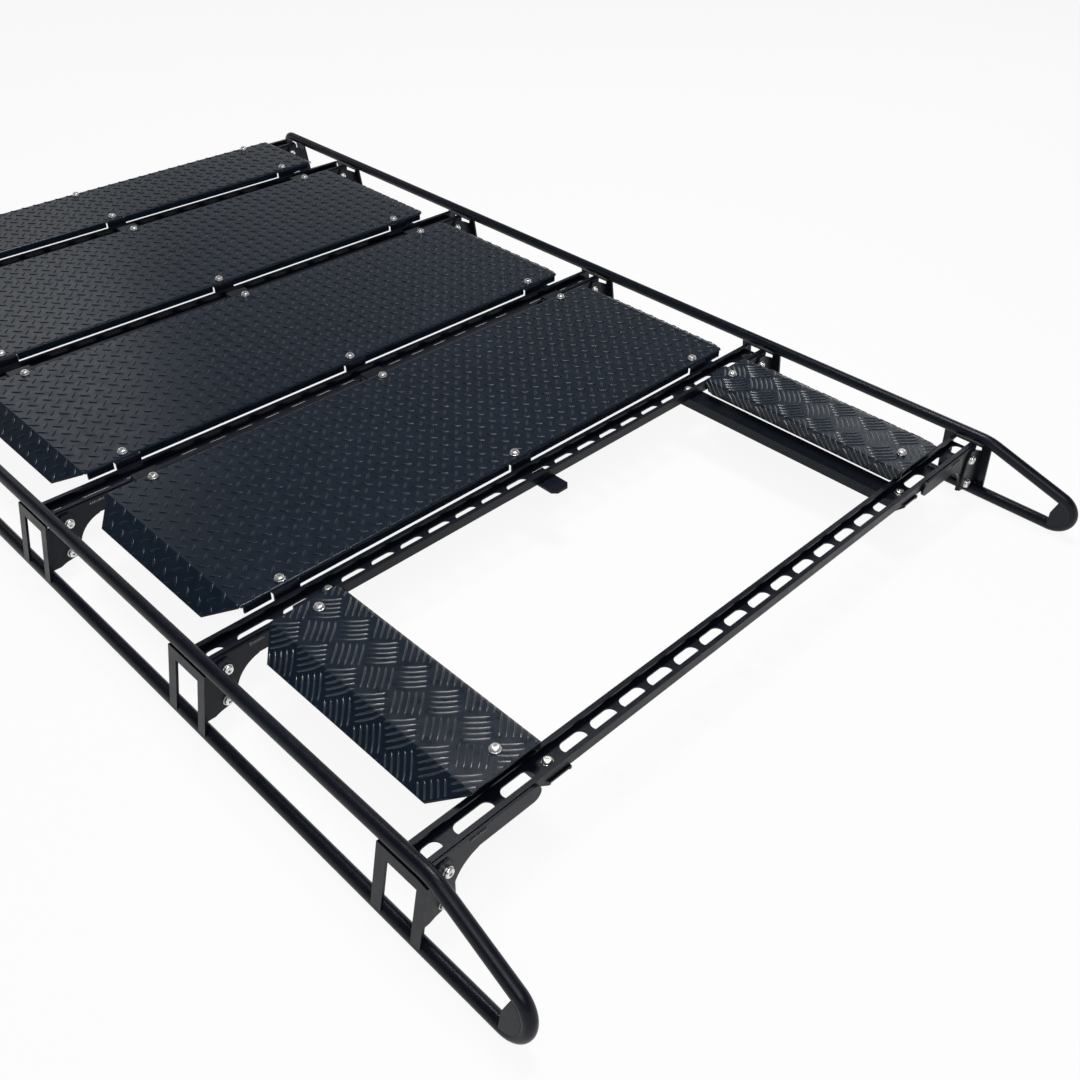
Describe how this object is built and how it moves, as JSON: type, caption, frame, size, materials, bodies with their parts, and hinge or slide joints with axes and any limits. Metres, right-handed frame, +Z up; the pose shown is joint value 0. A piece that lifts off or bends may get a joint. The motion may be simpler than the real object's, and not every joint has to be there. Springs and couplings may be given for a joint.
{
  "type": "roof rack",
  "caption": "Full-length flat vehicle roof rack with bent tube side frames, slotted crossbars, tread plate decks and an open sunroof bay.",
  "frame": {"origin": "centre of the footprint, on the level that the two lower rails rest on", "axes": "+X along the vehicle towards the sloped nose, +Y across it, +Z up"},
  "size_m": [2.215, 1.3, 0.135],
  "materials": {
    "powder_coat": "satin black powder coat",
    "tread_plate": "satin blue-black powder coat on tread plate"
  },
  "bodies": {
    "root": {"left_top_rail": "powder_coat", "left_lower_rail": "powder_coat", "left_nose_bend": "powder_coat", "left_rear_bend": "powder_coat", "right_top_rail": "powder_coat", "right_lower_rail": "powder_coat", "right_nose_bend": "powder_coat", "right_rear_bend": "powder_coat", "left_nose_plate": "powder_coat", "right_nose_plate": "powder_coat", "left_upright_one": "powder_coat", "left_upright_two": "powder_coat", "left_upright_three": "powder_coat", "left_upright_four": "powder_coat", "left_upright_five": "powder_coat", "left_upright_six": "powder_coat", "right_upright_one": "powder_coat", "right_upright_two": "powder_coat", "right_upright_three": "powder_coat", "right_upright_four": "powder_coat", "right_upright_five": "powder_coat", "right_upright_six": "powder_coat", "gussets_one": "powder_coat", "gussets_two": "powder_coat", "gussets_three": "powder_coat", "gussets_four": "powder_coat", "gussets_five": "powder_coat", "gussets_six": "powder_coat", "crossbar_one": "powder_coat", "crossbar_two": "powder_coat", "crossbar_three": "powder_coat", "crossbar_four": "powder_coat", "crossbar_five": "powder_coat", "crossbar_six": "powder_coat", "rear_deck": "tread_plate", "deck_two": "tread_plate", "deck_three": "tread_plate", "front_deck": "tread_plate", "left_side_deck": "tread_plate", "right_side_deck": "tread_plate", "left_inner_bar": "powder_coat", "right_inner_bar": "powder_coat", "deck_tabs": "powder_coat", "centre_tab": "powder_coat"}
  },
  "joints": []
}
